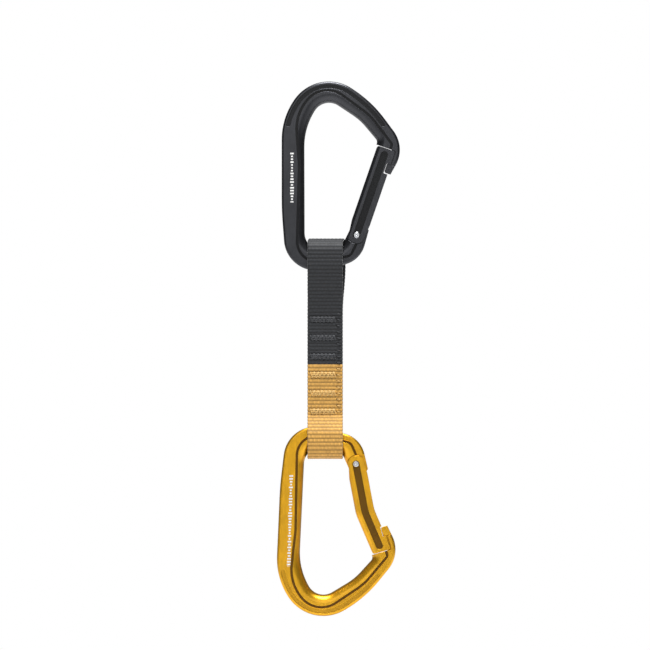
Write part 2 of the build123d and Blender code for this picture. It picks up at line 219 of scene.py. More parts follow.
def anodised_aluminium(name, dye, groove_painted_shade, floor, pocket_painted_shade_share, marks):
    """Hot-forged aluminium, tumbled, milled and anodised.

    The dye clouds slightly over a few millimetres, the tumbled skin has a fine grain, the floors of
    the milled grooves are painted darker as painted shade in the recess and made duller, and worn
    edges catch the light. floor is the grooves' distance from the middle plane, and
    pocket_painted_shade_share how far the bow's shallower pocket takes the same painted shade.
    marks is None, or the (middle x, lower z, upper z, lean) of the spine's laser marks.
    """
    settings = bpy.context.scene.quickdraw_metal
    material, tree, shader = new_material(name)
    place = add(tree, "ShaderNodeTexCoord").outputs["Object"]
    axes = add(tree, "ShaderNodeSeparateXYZ", {0: place})

    # dye clouds about 9 mm across
    clouds = add(tree, "ShaderNodeTexNoise", {"Vector": place, "Scale": 110.0, "Detail": 3.0})
    # streaks of the forging and linishing, 0.4 mm wide and ten times as long
    stretched = add(tree, "ShaderNodeMapping", {"Vector": place, "Scale": (2500.0, 2500.0, 220.0)})
    streaks = add(tree, "ShaderNodeTexNoise",
                  {"Vector": stretched.outputs[0], "Scale": 1.0, "Detail": 4.0, "Roughness": 0.6})
    # tumbled grain: really 0.05 mm, drawn at 0.35 mm so that it shows
    grain = add(tree, "ShaderNodeTexNoise", {"Vector": place, "Scale": 2900.0, "Detail": 2.0})

    cloudy = add(tree, "ShaderNodeMapRange",
                 {0: clouds.outputs["Fac"], 1: 0.3, 2: 0.7, 3: 0.86, 4: 1.08})
    streaky = add(tree, "ShaderNodeMapRange",
                  {0: streaks.outputs["Fac"], 1: 0.3, 2: 0.7, 3: 0.93, 4: 1.07})
    shade = add(tree, "ShaderNodeMath", {0: cloudy.outputs[0], 1: streaky.outputs[0]},
                operation="MULTIPLY")
    tinted = add(tree, "ShaderNodeVectorMath", {0: tuple(dye)[:3], 3: shade.outputs[0]},
                 operation="SCALE")

    # painted shade: a groove's floor, which faces the side at its own depth, gets the darker groove
    # colour, and the bow's pocket floor a share of it
    normal = add(tree, "ShaderNodeTexCoord").outputs["Normal"]
    facing = add(tree, "ShaderNodeSeparateXYZ", {0: normal})
    flat = add(tree, "ShaderNodeMath", {0: facing.outputs["Y"]}, operation="ABSOLUTE")
    flat = add(tree, "ShaderNodeMath", {0: flat.outputs[0], 1: 0.8}, operation="GREATER_THAN")
    depth = add(tree, "ShaderNodeMath", {0: axes.outputs["Y"]}, operation="ABSOLUTE")
    deeper = add(tree, "ShaderNodeMath", {0: depth.outputs[0], 1: floor, 2: FLOOR_TOLERANCE},
                 operation="COMPARE")
    pocket = add(tree, "ShaderNodeMath",
                 {0: depth.outputs[0], 1: POCKET_FLOOR, 2: FLOOR_TOLERANCE},
                 operation="COMPARE")
    either = add(tree, "ShaderNodeMath",
                 {0: pocket.outputs[0], 1: pocket_painted_shade_share, 2: deeper.outputs[0]},
                 operation="MULTIPLY_ADD")
    groove = add(tree, "ShaderNodeMath", {0: flat.outputs[0], 1: either.outputs[0]},
                 operation="MULTIPLY")
    # the dye, with the painted groove shade mixed in on the grooves' floors
    dyed = add(tree, "ShaderNodeMix", {0: groove.outputs[0], 6: tinted.outputs[0], 7: tuple(groove_painted_shade)},
               data_type="RGBA")

    # rounded edges, and the bright wear that they get from rubbing on rock and bolts
    rounded = add(tree, "ShaderNodeBevel", {"Radius": settings.edge_radius}, samples=8)
    sharp = add(tree, "ShaderNodeNewGeometry")
    bend = add(tree, "ShaderNodeVectorMath", {0: rounded.outputs[0], 1: sharp.outputs["Normal"]},
               operation="DOT_PRODUCT")
    edge = add(tree, "ShaderNodeMapRange",
               {0: bend.outputs["Value"], 1: 0.95, 2: 0.8, 3: 0.0, 4: 0.25})
    patches = add(tree, "ShaderNodeTexNoise", {"Vector": place, "Scale": 420.0, "Detail": 4.0})
    worn = add(tree, "ShaderNodeMapRange", {0: patches.outputs["Fac"], 1: 0.42, 2: 0.62})
    wear = add(tree, "ShaderNodeMath", {0: edge.outputs[0], 1: worn.outputs[0]},
               operation="MULTIPLY")
    bright = tuple(min(1.0, 1.6 * c + 0.08) for c in tuple(dye)[:3]) + (1.0,)
    colour = add(tree, "ShaderNodeMix", {0: wear.outputs[0], 6: dyed.outputs[2], 7: bright},
                 data_type="RGBA")

    if marks:
        colour = laser_marks(tree, place, colour.outputs[2], marks)
    tree.links.new(colour.outputs[2], shader.inputs["Base Color"])

    rough = add(tree, "ShaderNodeMapRange",
                {0: streaks.outputs["Fac"], 1: 0.3, 2: 0.7, 3: settings.roughness - 0.05,
                 4: settings.roughness + 0.07})
    dull = add(tree, "ShaderNodeMath", {0: groove.outputs[0], 1: 0.2, 2: rough.outputs[0]},
               operation="MULTIPLY_ADD")
    tree.links.new(dull.outputs[0], shader.inputs["Roughness"])
    shader.inputs["Metallic"].default_value = 0.92
    shader.inputs["Coat Weight"].default_value = 0.35
    shader.inputs["Coat Roughness"].default_value = 0.22
    skin = add(tree, "ShaderNodeBump",
               {"Height": grain.outputs["Fac"], "Strength": 0.05, "Distance": 0.05 * MM,
                "Normal": rounded.outputs[0]})
    tree.links.new(skin.outputs[0], shader.inputs["Normal"])
    return material


def laser_marks(tree, place, under, marks):
    """A ladder of plain bars, as a laser leaves them: bare pale metal, and no lettering."""
    middle, low, high, lean = marks
    axes = add(tree, "ShaderNodeSeparateXYZ", {0: place})
    line = add(tree, "ShaderNodeMath",
               {0: axes.outputs["Z"], 1: -lean, 2: lean * (low + high) / 2 - middle},
               operation="MULTIPLY_ADD")
    side = add(tree, "ShaderNodeMath", {0: axes.outputs["X"], 1: line.outputs[0]},
               operation="ADD")
    rung = add(tree, "ShaderNodeMath", {0: axes.outputs["Z"], 1: MARK_PITCH}, operation="DIVIDE")
    number = add(tree, "ShaderNodeMath", {0: rung.outputs[0]}, operation="FLOOR")
    part = add(tree, "ShaderNodeMath", {0: rung.outputs[0]}, operation="FRACT")
    chance = add(tree, "ShaderNodeTexWhiteNoise", {"W": number.outputs[0]},
                 noise_dimensions="1D")
    half = add(tree, "ShaderNodeMapRange",
               {0: chance.outputs["Value"], 3: 0.45 * MM, 4: 1.1 * MM})
    side = add(tree, "ShaderNodeMath", {0: side.outputs[0]}, operation="ABSOLUTE")
    tests = [
        add(tree, "ShaderNodeMath", {0: side.outputs[0], 1: half.outputs[0]},
            operation="LESS_THAN"),
        add(tree, "ShaderNodeMath", {0: part.outputs[0], 1: MARK_SHARE}, operation="LESS_THAN"),
        add(tree, "ShaderNodeMath", {0: axes.outputs["Z"], 1: low}, operation="GREATER_THAN"),
        add(tree, "ShaderNodeMath", {0: axes.outputs["Z"], 1: high}, operation="LESS_THAN"),
        add(tree, "ShaderNodeMath", {0: axes.outputs["Y"], 1: SIDE_FACE}, operation="LESS_THAN"),
    ]
    mask = tests[0].outputs[0]
    for test in tests[1:]:
        both = add(tree, "ShaderNodeMath", {0: mask, 1: test.outputs[0]}, operation="MULTIPLY")
        mask = both.outputs[0]
    return add(tree, "ShaderNodeMix", {0: mask, 6: under, 7: linear("#F4F4F2")},
               data_type="RGBA")


def turned_steel(name, centre):
    """Stainless steel, cold-headed and polished on a lathe: fine rings round each head."""
    settings = bpy.context.scene.quickdraw_metal
    material, tree, shader = new_material(name)
    place = add(tree, "ShaderNodeTexCoord").outputs["Object"]
    moved = add(tree, "ShaderNodeMapping", {"Vector": place, "Location": tuple(-c for c in centre)})
    axes = add(tree, "ShaderNodeSeparateXYZ", {0: moved.outputs[0]})
    across = add(tree, "ShaderNodeCombineXYZ", {"X": axes.outputs["X"], "Z": axes.outputs["Z"]})
    radius = add(tree, "ShaderNodeVectorMath", {0: across.outputs[0]}, operation="LENGTH")
    # rings 0.25 mm apart: coarser than real ones, so that they show
    turns = add(tree, "ShaderNodeMath", {0: radius.outputs["Value"], 1: 2 * math.pi / (0.25 * MM)},
                operation="MULTIPLY")
    rings = add(tree, "ShaderNodeMath", {0: turns.outputs[0]}, operation="SINE")
    specks = add(tree, "ShaderNodeTexNoise", {"Vector": place, "Scale": 2500.0, "Detail": 3.0})
    shade = add(tree, "ShaderNodeMapRange",
                {0: specks.outputs["Fac"], 1: 0.3, 2: 0.7, 3: 0.85, 4: 1.0})
    tint = add(tree, "ShaderNodeVectorMath", {0: tuple(settings.steel)[:3], 3: shade.outputs[0]},
               operation="SCALE")
    tree.links.new(tint.outputs[0], shader.inputs["Base Color"])
    rough = add(tree, "ShaderNodeMapRange",
                {0: specks.outputs["Fac"], 1: 0.3, 2: 0.7, 3: 0.2, 4: 0.34})
    tree.links.new(rough.outputs[0], shader.inputs["Roughness"])
    shader.inputs["Metallic"].default_value = 1.0
    bump = add(tree, "ShaderNodeBump",
               {"Height": rings.outputs[0], "Strength": 0.1, "Distance": 0.02 * MM})
    tree.links.new(bump.outputs[0], shader.inputs["Normal"])
    return material


def moulded_elastomer(name):
    """Black thermoplastic rubber, moulded with a fine grain: dull and slightly grey."""
    material, tree, shader = new_material(name)
    place = add(tree, "ShaderNodeTexCoord").outputs["Object"]
    grain = add(tree, "ShaderNodeTexNoise", {"Vector": place, "Scale": 2200.0, "Detail": 3.0})
    bloom = add(tree, "ShaderNodeTexNoise", {"Vector": place, "Scale": 260.0, "Detail": 2.0})
    mixed = add(tree, "ShaderNodeMix",
                {0: bloom.outputs["Fac"], 6: linear("#1B1B1C"), 7: linear("#2F2F31")},
                data_type="RGBA")
    tree.links.new(mixed.outputs[2], shader.inputs["Base Color"])
    rough = add(tree, "ShaderNodeMapRange", {0: bloom.outputs["Fac"], 3: 0.6, 4: 0.8})
    tree.links.new(rough.outputs[0], shader.inputs["Roughness"])
    bump = add(tree, "ShaderNodeBump",
               {"Height": grain.outputs["Fac"], "Strength": 0.4, "Distance": 0.06 * MM})
    tree.links.new(bump.outputs[0], shader.inputs["Normal"])
    return material


def woven_polyester(name, dye, crest_painted_highlight_gain, valley_painted_shade_gain):
    """Heavy polyester webbing, solution-dyed: every float is a bundle of bright filaments.

    The weave attribute holds, in metres, the place along and across the webbing, and the relief
    from 0 in a valley to 1 on a crest, and below 0 in a needle hole. By the relief, crests are
    painted pale as a painted highlight, and valleys and needle holes darker as painted shade.
    """
    settings = bpy.context.scene.quickdraw_sling
    material, tree, shader = new_material(name)
    weave = add(tree, "ShaderNodeAttribute", attribute_name="weave").outputs["Vector"]
    axes = add(tree, "ShaderNodeSeparateXYZ", {0: weave})

    # filaments 0.12 mm wide that run along the webbing, twenty times as long
    drawn = add(tree, "ShaderNodeMapping", {"Vector": weave, "Scale": (400.0, 8000.0, 1.0)})
    fibres = add(tree, "ShaderNodeTexNoise",
                 {"Vector": drawn.outputs[0], "Scale": 1.0, "Detail": 2.0})
    # each float takes the dye a little differently
    cell_x = add(tree, "ShaderNodeMath", {0: axes.outputs["X"], 1: settings.rib},
                 operation="DIVIDE")
    cell_x = add(tree, "ShaderNodeMath", {0: cell_x.outputs[0]}, operation="FLOOR")
    yarn = LAYER_WIDTH / settings.yarns
    cell_y = add(tree, "ShaderNodeMath", {0: axes.outputs["Y"], 1: yarn}, operation="DIVIDE")
    cell_y = add(tree, "ShaderNodeMath", {0: cell_y.outputs[0]}, operation="FLOOR")
    cell = add(tree, "ShaderNodeCombineXYZ", {"X": cell_x.outputs[0], "Y": cell_y.outputs[0]})
    chance = add(tree, "ShaderNodeTexWhiteNoise", {"Vector": cell.outputs[0]},
                 noise_dimensions="3D")

    # painted light and shade from the relief: crests brighter, valleys darker, needle holes darker
    # still
    height = add(tree, "ShaderNodeMapRange",
                 {0: axes.outputs["Z"], 1: 0.1, 2: 0.95, 3: valley_painted_shade_gain, 4: crest_painted_highlight_gain},
                 clamp=False)
    lots = add(tree, "ShaderNodeMapRange", {0: chance.outputs["Value"], 3: 0.9, 4: 1.1})
    lines = add(tree, "ShaderNodeMapRange",
                {0: fibres.outputs["Fac"], 1: 0.3, 2: 0.7, 3: 0.85, 4: 1.12})
    gain = add(tree, "ShaderNodeMath", {0: height.outputs[0], 1: lots.outputs[0]},
               operation="MULTIPLY")
    gain = add(tree, "ShaderNodeMath", {0: gain.outputs[0], 1: lines.outputs[0]},
               operation="MULTIPLY")
    tint = add(tree, "ShaderNodeVectorMath", {0: tuple(dye)[:3], 3: gain.outputs[0]},
               operation="SCALE")
    tree.links.new(tint.outputs[0], shader.inputs["Base Color"])
    rough = add(tree, "ShaderNodeMapRange",
                {0: fibres.outputs["Fac"], 1: 0.3, 2: 0.7, 3: 0.55, 4: 0.78})
    tree.links.new(rough.outputs[0], shader.inputs["Roughness"])
    shader.inputs["Specular IOR Level"].default_value = 0.45
    shader.inputs["Sheen Weight"].default_value = 0.6
    shader.inputs["Sheen Roughness"].default_value = 0.35
    shader.inputs["Sheen Tint"].default_value = (1.0, 1.0, 1.0, 1.0)
    bump = add(tree, "ShaderNodeBump",
               {"Height": fibres.outputs["Fac"], "Strength": 0.5, "Distance": 0.08 * MM})
    tree.links.new(bump.outputs[0], shader.inputs["Normal"])
    return material


def sewing_thread(name, dye):
    """Bonded polyester thread of twisted plies: a diagonal rope-like bump and a soft shine."""
    material, tree, shader = new_material(name)
    place = add(tree, "ShaderNodeTexCoord").outputs["Object"]
    # at a scale of 1, diagonal bands turn through 10 radians in a metre
    plies = add(tree, "ShaderNodeTexWave",
                {"Vector": place, "Scale": 2 * math.pi / (10 * PLY_PITCH), "Distortion": 1.5,
                 "Detail": 1.0, "Detail Scale": 900.0},
                bands_direction="DIAGONAL")
    fuzz = add(tree, "ShaderNodeTexNoise", {"Vector": place, "Scale": 5000.0, "Detail": 2.0})
    # painted light: the colour follows the plies, darker between them as painted shade and brighter
    # on them as painted highlight
    shade = add(tree, "ShaderNodeMapRange", {0: plies.outputs["Fac"], 3: 0.72, 4: 1.12})
    tint = add(tree, "ShaderNodeVectorMath", {0: tuple(dye)[:3], 3: shade.outputs[0]},
               operation="SCALE")
    tree.links.new(tint.outputs[0], shader.inputs["Base Color"])
    rough = add(tree, "ShaderNodeMapRange", {0: fuzz.outputs["Fac"], 3: 0.35, 4: 0.6})
    tree.links.new(rough.outputs[0], shader.inputs["Roughness"])
    shader.inputs["Sheen Weight"].default_value = 0.25
    bump = add(tree, "ShaderNodeBump",
               {"Height": plies.outputs["Fac"], "Strength": 0.4, "Distance": 0.05 * MM})
    tree.links.new(bump.outputs[0], shader.inputs["Normal"])
    return material


def finish_node(node, material):
    """Gives a CAD node its finished material."""
    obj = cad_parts[node]
    obj.data.materials.clear()
    obj.data.materials.append(material)


# ---------------------------------------------------------------- modelling
def deselect():
    """Leaves edit mode and selects nothing."""
    if bpy.context.object and bpy.context.object.mode != "OBJECT":
        bpy.ops.object.mode_set(mode="OBJECT")
    bpy.ops.object.select_all(action="DESELECT")


def take(obj):
    """Makes obj the only selected object."""
    deselect()
    obj.select_set(True)
    bpy.context.view_layer.objects.active = obj


def select_points(obj, wanted):
    """In edit mode, selects the points whose place passes the test, and nothing else."""
    take(obj)
    bpy.ops.object.mode_set(mode="EDIT")
    bpy.ops.mesh.select_mode(type="VERT")
    bpy.ops.mesh.select_all(action="DESELECT")
    bpy.ops.object.mode_set(mode="OBJECT")
    for point in obj.data.vertices:
        point.select = wanted(point.co)
    bpy.ops.object.mode_set(mode="EDIT")


def apply_modifier(obj, kind, **settings):
    """Adds a modifier and applies it."""
    take(obj)
    modifier = obj.modifiers.new(kind, kind)
    for name, value in settings.items():
        setattr(modifier, name, value)
    bpy.ops.object.modifier_apply(modifier=modifier.name)


def settle(obj, matrix):
    """Turns and moves obj, and puts its place into its mesh."""
    take(obj)
    obj.matrix_world = matrix
    bpy.ops.object.transform_apply(location=True, rotation=True, scale=True)


def woven_strip(name, length):
    """A flat strip of webbing from the origin along +X, its width on Y and its thickness on Z.

    One cell of the weave, two ribs long and two yarns wide, is raised and repeated. In one rib
    the first yarn floats higher, and in the next the second. The back face mirrors the front.
    """
    settings = bpy.context.scene.quickdraw_sling
    pairs = max(1, round(length / (2 * settings.rib)))
    cell_length = length / pairs
    cell_width = 2 * LAYER_WIDTH / settings.yarns
    valley = LAYER_THICKNESS / 2 - settings.relief

    deselect()
    bpy.ops.mesh.primitive_grid_add(
        x_subdivisions=CELL_ROWS, y_subdivisions=CELL_COLUMNS, size=1)
    strip = bpy.context.object
    strip.name = name
    settle(strip, Matrix.LocRotScale(
        Vector((cell_length / 2, (cell_width - LAYER_WIDTH) / 2, valley)), None,
        Vector((cell_length, cell_width, 1.0))))
    # raise the floats: a rib's crest is high for one yarn of the pair and lower for the other
    for row, share in RIB_CREST:
        x = row / CELL_ROWS * cell_length
        for column in range(CELL_COLUMNS + 1):
            y = -LAYER_WIDTH / 2 + column / CELL_COLUMNS * cell_width
            over = column == (1 if row < 4 else 3)
            lift = share * settings.relief * (1.0 if over else LOW_FLOAT)
            select_points(strip, lambda co: abs(co.x - x) < 1e-5 and abs(co.y - y) < 1e-5)
            bpy.ops.transform.translate(value=(0, 0, lift))
    deselect()
    apply_modifier(strip, "ARRAY", count=settings.yarns // 2, use_relative_offset=False,
                   use_constant_offset=True, constant_offset_displace=(0, cell_width, 0),
                   use_merge_vertices=True, merge_threshold=WELD)
    apply_modifier(strip, "ARRAY", count=pairs, use_relative_offset=False,
                   use_constant_offset=True, constant_offset_displace=(cell_length, 0, 0),
                   use_merge_vertices=True, merge_threshold=WELD)

    # close the selvedges and ends: the rim is drawn out and down to the middle of the thickness
    take(strip)
    bpy.ops.object.mode_set(mode="EDIT")
    bpy.ops.mesh.select_mode(type="EDGE")
    bpy.ops.mesh.select_all(action="DESELECT")
    bpy.ops.mesh.select_non_manifold()
    bpy.ops.mesh.extrude_edges_move()
    centre = (length / 2, 0, 0)
    bpy.ops.transform.resize(value=(1 - 0.02 * MM / length, RIM_OUT[0], 0.55),
                             center_override=centre)
    bpy.ops.mesh.extrude_edges_move()
    bpy.ops.transform.resize(value=(1, RIM_OUT[1], 0), center_override=centre)
    # scalloped selvedge: the weft turns back round the outer yarn at each rib
    bpy.ops.object.mode_set(mode="OBJECT")
    rib = cell_length / 2
    select_points(strip, lambda co: abs(co.y) > LAYER_WIDTH / 2 * RIM_START
                  and abs((co.x / rib) % 1 - 0.5) < 0.3)
    bpy.ops.transform.resize(value=(1, SCALLOP, 1), center_override=centre)
    deselect()

    # the place along, across and up from the valley, for the material
    weave = strip.data.attributes.new("weave", "FLOAT_VECTOR", "POINT")
    for point, value in zip(strip.data.vertices, weave.data):
        up = (abs(point.co.z) - valley) / settings.relief
        value.vector = (point.co.x, point.co.y, min(1.0, max(0.0, up)))
    apply_modifier(strip, "MIRROR", use_axis=(False, False, True), use_clip=False,
                   merge_threshold=0.005 * MM)
    take(strip)
    bpy.ops.object.mode_set(mode="EDIT")
    bpy.ops.mesh.select_all(action="SELECT")
    bpy.ops.mesh.remove_doubles(threshold=0.002 * MM)
    bpy.ops.mesh.normals_make_consistent(inside=False)
    bpy.ops.object.mode_set(mode="OBJECT")
    bpy.ops.object.shade_smooth()
    return strip


def loop_path(name, sewn_z, turn_z, centre_z):
    """The side view of one sling loop as a flat curve: x is the world's Y, and y the world's Z.

    Each strand runs straight from the sewing to the bar's flank, and round over the bar.
    """
    half = LOOP_RADIUS - LAYER_THICKNESS / 2
    up = 1 if centre_z > sewn_z else -1
    start = Vector((-LAYER_DEPTH, sewn_z))
    turn = Vector((-half, turn_z))
    run = turn - start
    cut = run.normalized() * CORNER_CUT
    rise = Vector((0, up * CORNER_CUT))
    flank = Vector((-half, centre_z))
    third = (flank - turn - rise) / 3
    arc = Vector((0, up * half * ARC_HANDLE))
    knots = [
        (start, start - run / 6, start + run / 3),
        (turn - cut, turn - cut - run / 4, turn - cut * 0.45),
        (turn + rise, turn + rise * 0.45, turn + rise + third),
        (flank, flank - third, flank + arc),
    ]
    crown = Vector((0, centre_z + up * half))
    side = Vector((half * ARC_HANDLE, 0))

    def mirrored(point):
        return Vector((-point.x, point.y))

    knots += [(crown, crown - side, crown + side)] + [
        (mirrored(co), mirrored(right), mirrored(left)) for co, left, right in reversed(knots)]
    curve = bpy.data.curves.new(name, "CURVE")
    curve.dimensions = "2D"
    curve.resolution_u = 24
    spline = curve.splines.new("BEZIER")
    spline.bezier_points.add(len(knots) - 1)
    for point, places in zip(spline.bezier_points, knots):
        point.handle_left_type = point.handle_right_type = "FREE"
        point.co, point.handle_left, point.handle_right = (place.to_3d() for place in places)
    path = bpy.data.objects.new(name, curve)
    bpy.context.collection.objects.link(path)
    bpy.context.view_layer.update()
    return path


def woven_loop(name, sewn_z, turn_z, centre_z, back_shift):
    """A loop of webbing bent over a carabiner's bar, its back strand back_shift to the right."""
    path = loop_path(name + "_path", sewn_z, turn_z, centre_z)
    length = path.data.splines[0].calc_length()
    strip = woven_strip(name, length)
    settle(strip, Matrix.Rotation(math.pi / 2, 4, "X"))
    apply_modifier(strip, "CURVE", object=path, deform_axis="POS_X")
    bpy.data.objects.remove(path)
    settle(strip, Matrix(((0, 0, 1, LAYER_MIDDLE), (1, 0, 0, 0), (0, 1, 0, 0), (0, 0, 0, 1))))
    for point in strip.data.vertices:
        reach = min(1.0, abs(point.co.z - sewn_z) / abs(turn_z - sewn_z))
        behind = min(1.0, max(0.0, 0.5 + point.co.y / LOOP_RADIUS))
        point.co.x += back_shift * behind * reach * reach * (3 - 2 * reach)
    return strip


def woven_layer(name, side, top, bottom):
    """One straight layer of the sewn strap; side -1 is the front and 1 the back."""
    strip = woven_strip(name, top - bottom)
    settle(strip, Matrix(((0, side, 0, LAYER_MIDDLE), (0, 0, side, side * LAYER_DEPTH),
                          (-1, 0, 0, top), (0, 0, 0, 1))))
    return strip


def colour_change_z():
    """Where the strap turns from black to yellow."""
    share = bpy.context.scene.quickdraw_sling.colour_change
    return FRONT_LAYER[1].z - share * (FRONT_LAYER[1].z - FRONT_LAYER[0].z)


def tack_holes(node):
    """Where the needle went in along one bar tack: zigzag corners, as (x, z) in metres."""
    low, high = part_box(node)
    count = bpy.context.scene.quickdraw_sling.zigzags
    margin = bpy.context.scene.quickdraw_sling.thread / 2
    step = (high.x - low.x - 2 * margin) / count
    return [(low.x + margin + i * step, low.z + margin if i % 2 else high.z - margin)
            for i in range(count + 1)]


def ladder_holes(node):
    """The short stitches that carry the thread down beside one bar tack, as (x, z) pairs."""
    low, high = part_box(node)
    edge = FRONT_LAYER[1].x - LADDER_END
    start = high.x + LADDER_START
    middle = (low.z + high.z) / 2
    return [((start, middle + k * STITCH_PITCH),
             (edge, middle + k * STITCH_PITCH - STITCH_SLANT)) for k in (-1, 0, 1)]


def prick(strip, side, nodes):
    """Draws the webbing in round each needle hole, and gives the hole painted shade through its
    relief.
    """
    holes = [hole for node in nodes for hole in tack_holes(node)]
    holes += [hole for node in nodes for pair in ladder_holes(node) for hole in pair]
    middle = side * LAYER_DEPTH

    def near(co):
        return (co.y - middle) * side > 0.2 * MM and any(
            math.hypot(co.x - x, co.z - z) < HOLE_REACH for x, z in holes)

    # painted shade: a hole's relief is set below a valley's, so that the material darkens it
    weave = strip.data.attributes["weave"].data
    for point, value in zip(strip.data.vertices, weave):
        if near(point.co):
            value.vector.z = -0.2
    select_points(strip, near)
    bpy.ops.transform.translate(value=(0, -side * HOLE_DEPTH, 0))
    deselect()


def stitch(curve, points):
    """One run of thread through the given points, smooth from one to the next."""
    spline = curve.splines.new("BEZIER")
    spline.bezier_points.add(len(points) - 1)
    for knot, place in zip(spline.bezier_points, points):
        knot.co = place
        knot.handle_left_type = knot.handle_right_type = "AUTO"


def tack_threads(node):
    """One bar tack's thread on both faces: foundation runs, a zigzag, and the ladder beside."""
    settings = bpy.context.scene.quickdraw_sling
    low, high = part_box(node)
    radius = settings.thread / 2
    curve = bpy.data.curves.new(node + "_stitches", "CURVE")
    curve.dimensions = "3D"
    curve.resolution_u = 4
    curve.bevel_depth = radius
    curve.bevel_resolution = 2
    curve.use_fill_caps = True
    corners = tack_holes(node)
    for side in (-1, 1):
        crest = side * (high.y - radius)
        under = side * (high.y - 2.2 * radius)
        hidden = side * (high.y - 4 * radius)
        for share in (0.25, 0.5, 0.75):
            z = low.z + share * (high.z - low.z)
            stitch(curve, [(low.x + radius, hidden, z)]
                   + [(low.x + s * (high.x - low.x), under, z) for s in (0.08, 0.5, 0.92)]
                   + [(high.x - radius, hidden, z)])
        zigzag = []
        for (x0, z0), (x1, z1) in zip(corners, corners[1:]):
            zigzag.append((x0, hidden, z0))
            for share in (0.22, 0.78):
                zigzag.append((x0 + share * (x1 - x0), crest, z0 + share * (z1 - z0)))
        zigzag.append((corners[-1][0], hidden, corners[-1][1]))
        stitch(curve, zigzag)
        for (x0, z0), (x1, z1) in ladder_holes(node):
            stitch(curve, [(x0, hidden, z0), (x0 + 0.25 * (x1 - x0), crest, z0),
                           (x0 + 0.75 * (x1 - x0), crest, z1), (x1, hidden, z1)])
    thread = bpy.data.objects.new(node + "_stitches", curve)
    bpy.context.collection.objects.link(thread)
    take(thread)
    bpy.ops.object.convert(target="MESH")
    thread = bpy.context.object
    bpy.ops.object.shade_smooth()
    return thread


# ---------------------------------------------------------------- operators
class QUICKDRAW_OT_metal(bpy.types.Operator):
    """Finish both carabiner bodies and gates in anodised aluminium"""

    bl_idname = "quickdraw.metal"
    bl_label = "Carabiners and Gates"

    def execute(self, context):
        settings = context.scene.quickdraw_metal
        # end, dye, groove colour painted as shade on the grooves' floors, name, share of that
        # painted shade in the bow's pocket, and the laser marks' offset, span and lean
        for end, dye, groove_painted_shade, word, pocket_painted_shade_share, offset, span, lean in (
                ("top", settings.black, settings.black_groove_painted_shade, "black", 0.9, 5.6 * MM,
                 (0.36, 0.625), 0.0),
                ("bottom", settings.gold, settings.gold_groove_painted_shade, "gold", 0.25, 7.1 * MM,
                 (0.26, 0.745), 0.028)):
            low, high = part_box(SPINE_BODIES[end])
            height = high.z - low.z
            marks = (low.x + offset, low.z + span[0] * height, low.z + span[1] * height, lean)
            finish_node(SPINE_BODIES[end], anodised_aluminium(
                "anodised_aluminium_forged_" + word, dye, groove_painted_shade, GROOVE_FLOOR, pocket_painted_shade_share, marks))
            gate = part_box(end + "_gate")
            # the gate's groove floor takes the same painted shade, and the gate has no pocket
            finish_node(end + "_gate", anodised_aluminium(
                "anodised_aluminium_gate_" + word, dye, groove_painted_shade,
                (gate[1].y - gate[0].y) / 2 - GATE_GROOVE, 0.0, None))
        return {"FINISHED"}


class QUICKDRAW_OT_steel(bpy.types.Operator):
    """Finish the rivets, plungers and springs in stainless steel"""

    bl_idname = "quickdraw.steel"
    bl_label = "Rivets and Springs"

    def execute(self, context):
        for end in ("top", "bottom"):
            for part in ("gate_rivet", "gate_plunger", "gate_spring"):
                low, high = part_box(f"{end}_{part}")
                finish_node(f"{end}_{part}",
                            turned_steel(f"turned_stainless_steel_{end}_{part}", (low + high) / 2))
        return {"FINISHED"}


class QUICKDRAW_OT_keeper(bpy.types.Operator):
    """Finish the keeper pad in moulded elastomer"""

    bl_idname = "quickdraw.keeper"
    bl_label = "Keeper Pad"

    def execute(self, context):
        finish_node("keeper_insert", moulded_elastomer("moulded_elastomer_black"))
        return {"FINISHED"}


class QUICKDRAW_OT_loops(bpy.types.Operator):
    """Weave the two unsewn loops and bend them round the carabiners"""

    bl_idname = "quickdraw.loops"
    bl_label = "Sling Loops"

    def execute(self, context):
        settings = context.scene.quickdraw_sling
        flank = 3.0 * MM  # between the basket's outer edge and the strands' corners
        # painted light: the loops' crests get a brighter painted highlight than the sewn strap's,
        # and their valleys painted shade
        black = woven_polyester("woven_polyester_black", settings.black, 1.35, 0.35)
        yellow = woven_polyester("woven_polyester_yellow", settings.yellow, 1.12, 0.5)

        upper = woven_loop("sling_upper_loop_webbing", UPPER_LOOP[0].z, UPPER_BASKET + flank,
                           UPPER_LOOP[1].z - LOOP_RADIUS, 1.5 * MM)
        upper.data.materials.append(black)
        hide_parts("sling_upper_loop")
        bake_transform(upper)

        lower = woven_loop("sling_lower_loop_webbing", LOWER_LOOP[1].z, LOWER_BASKET - flank,
                           LOWER_LOOP[0].z + LOOP_RADIUS, 0.0)
        lower.data.materials.append(yellow)
        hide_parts("sling_lower_loop")
        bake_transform(lower)
        return {"FINISHED"}


class QUICKDRAW_OT_strap(bpy.types.Operator):
    """Weave the two sewn layers of the strap, black above and yellow below"""

    bl_idname = "quickdraw.strap"
    bl_label = "Sewn Strap"

    def execute(self, context):
        settings = context.scene.quickdraw_sling
        # painted light: crests a little brighter as painted highlight, valleys darker as painted
        # shade
        black = woven_polyester("woven_polyester_black_sewn", settings.black, 1.2, 0.35)
        yellow = woven_polyester("woven_polyester_yellow_sewn", settings.yellow, 1.08, 0.5)
        top, bottom = FRONT_LAYER[1].z, FRONT_LAYER[0].z
        change = colour_change_z()
        for side, word in ((-1, "front"), (1, "back")):
            for colour, start, end, material in (("black", top, change, black),
                                                 ("yellow", change, bottom, yellow)):
                strip = woven_layer(f"sling_{word}_layer_{colour}", side, start, end)
                nodes = [node for node in TACK_NODES
                         if end < (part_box(node)[0].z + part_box(node)[1].z) / 2 < start]
                prick(strip, side, nodes)
                strip.data.materials.append(material)
                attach(strip, "sling")
                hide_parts(f"sling_{word}_layer")
        return {"FINISHED"}


